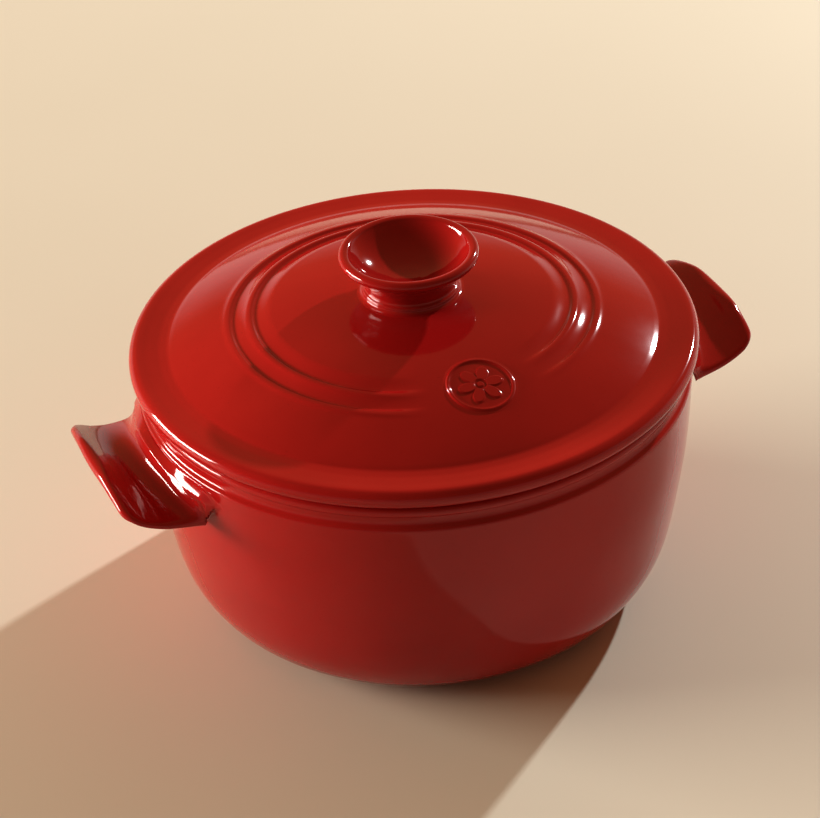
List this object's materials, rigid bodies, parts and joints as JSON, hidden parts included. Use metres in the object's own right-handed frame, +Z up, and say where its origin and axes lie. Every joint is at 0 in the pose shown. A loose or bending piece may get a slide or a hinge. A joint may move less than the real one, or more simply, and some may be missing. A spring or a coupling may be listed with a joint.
{
  "type": "soup tureen",
  "caption": "Round glazed ceramic soup tureen with lug handles at its sides and a lift-off domed lid with a flared, dished knob.",
  "frame": {"origin": "centre of the foot ring's underside, where the pot stands", "axes": "+X along the two handles, -Y towards the medallion at the front of the lid, +Z up along the pot's and lid's common axis"},
  "size_m": [0.3164, 0.2598, 0.174],
  "materials": {
    "red_glaze": "gloss"
  },
  "bodies": {
    "pot": {"pot_bowl": "red_glaze", "handle_left": "red_glaze", "handle_right": "red_glaze"},
    "flange": {"lid_flange": "red_glaze"},
    "lid": {"lid_dome": "red_glaze", "lid_knob": "red_glaze", "lid_medallion": "red_glaze"}
  },
  "joints": [
    {"name": "lid_lift", "type": "slide", "parent": "pot", "child": "flange", "axis": [0, 0, 1], "range_m": [0, 0.2]},
    {"name": "lid_turn", "type": "hinge", "parent": "flange", "child": "lid", "pos_m": [0, 0, 0.1234], "axis": [0, 0, 1], "continuous": true}
  ]
}
